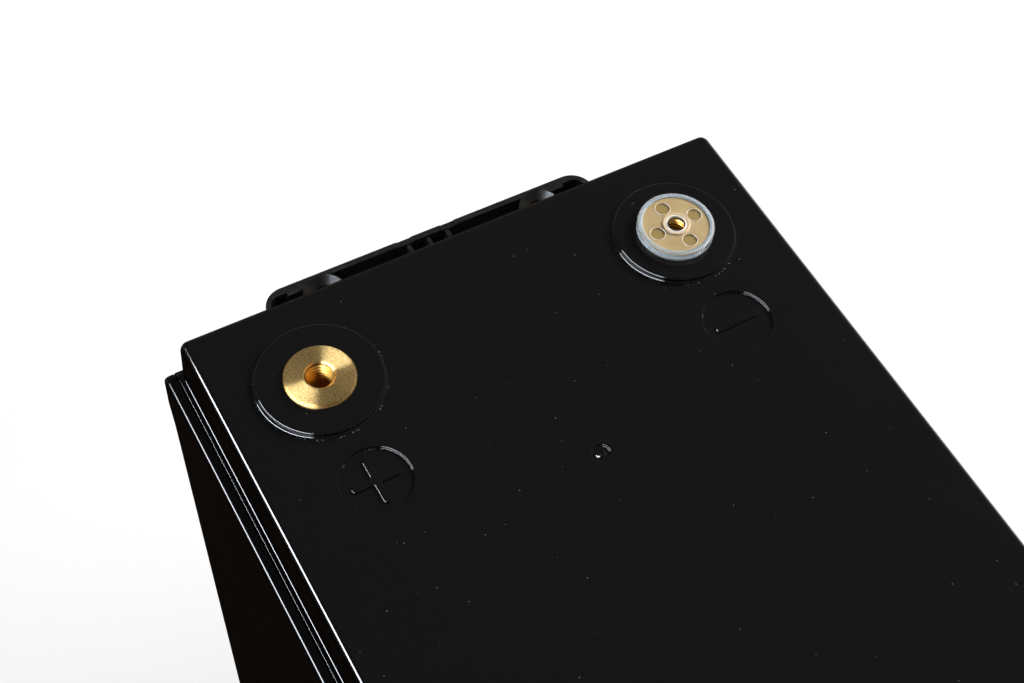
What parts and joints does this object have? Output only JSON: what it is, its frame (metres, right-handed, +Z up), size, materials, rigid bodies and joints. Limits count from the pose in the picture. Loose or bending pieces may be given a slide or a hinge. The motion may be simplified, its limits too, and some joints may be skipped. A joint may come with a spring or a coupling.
{
  "type": "lithium battery",
  "caption": "Glossy black rechargeable lithium battery in a moulded case with end grips, threaded brass terminals and a milky press-on terminal cap.",
  "frame": {"origin": "centre of the bounding box in plan, at the underside of the base", "axes": "+X along the case away from the terminals, +Y across the case towards the negative terminal, +Z up"},
  "size_m": [0.33, 0.172, 0.2215],
  "materials": {
    "case_plastic": "moulded black ABS, glossy, faint brown cast",
    "lid_plastic": "moulded black ABS, glossy",
    "terminal_brass": "turned brass, fine lathe rings",
    "cap_plastic": "milky translucent polyethylene",
    "seal_rubber": "moulded nitrile rubber",
    "zinc_steel": "zinc-plated steel",
    "strap_steel": "rolled stainless strip",
    "tinned_copper": "tin-plated copper",
    "bare_copper": "bare rolled copper",
    "plate_aluminium": "milled aluminium",
    "red_insulation": "red silicone lead insulation",
    "black_insulation": "black silicone lead insulation",
    "wire_insulation": "thin wire insulation",
    "fibre_board": "glass-fibre sheet",
    "circuit_board": "green solder mask",
    "black_epoxy": "moulded epoxy packages",
    "white_nylon": "moulded white nylon",
    "cell_film": "blue polyester film over the can",
    "foam": "closed-cell foam"
  },
  "bodies": {
    "root": {"case": "case_plastic", "lid": "lid_plastic", "terminal_positive": "terminal_brass", "terminal_negative": "terminal_brass", "terminal_cap": "cap_plastic", "seal_positive": "seal_rubber", "seal_negative": "seal_rubber", "terminal_nuts": "zinc_steel", "lug_positive_terminal": "tinned_copper", "lug_positive_tab": "tinned_copper", "lug_negative_terminal": "tinned_copper", "lug_negative_board": "tinned_copper", "lead_positive": "red_insulation", "lead_negative": "black_insulation", "end_plate_near": "plate_aluminium", "end_plate_far": "plate_aluminium", "strap_low": "strap_steel", "strap_high": "strap_steel", "tab_positive": "bare_copper", "bar_negative": "bare_copper", "bar_insulator": "fibre_board", "pole_bolts": "zinc_steel", "tab_bolt": "zinc_steel", "bms_heat_plate": "plate_aluminium", "bms_board": "circuit_board", "bms_transistors": "black_epoxy", "bms_standoffs": "terminal_brass", "bms_screws": "zinc_steel", "bms_copper_blocks": "bare_copper", "bms_block_bolts": "zinc_steel", "balance_connector": "white_nylon", "balance_wires": "wire_insulation", "foam_base": "foam", "foam_side_left": "foam", "foam_side_right": "foam", "foam_far_end": "foam", "foam_top": "foam", "cell_1": "cell_film", "cell_2": "cell_film", "cell_3": "cell_film", "cell_4": "cell_film", "cell_spacer_1": "fibre_board", "busbar_1": "bare_copper", "cell_spacer_2": "fibre_board", "busbar_2": "bare_copper", "cell_spacer_3": "fibre_board", "busbar_3": "bare_copper"}
  },
  "joints": []
}
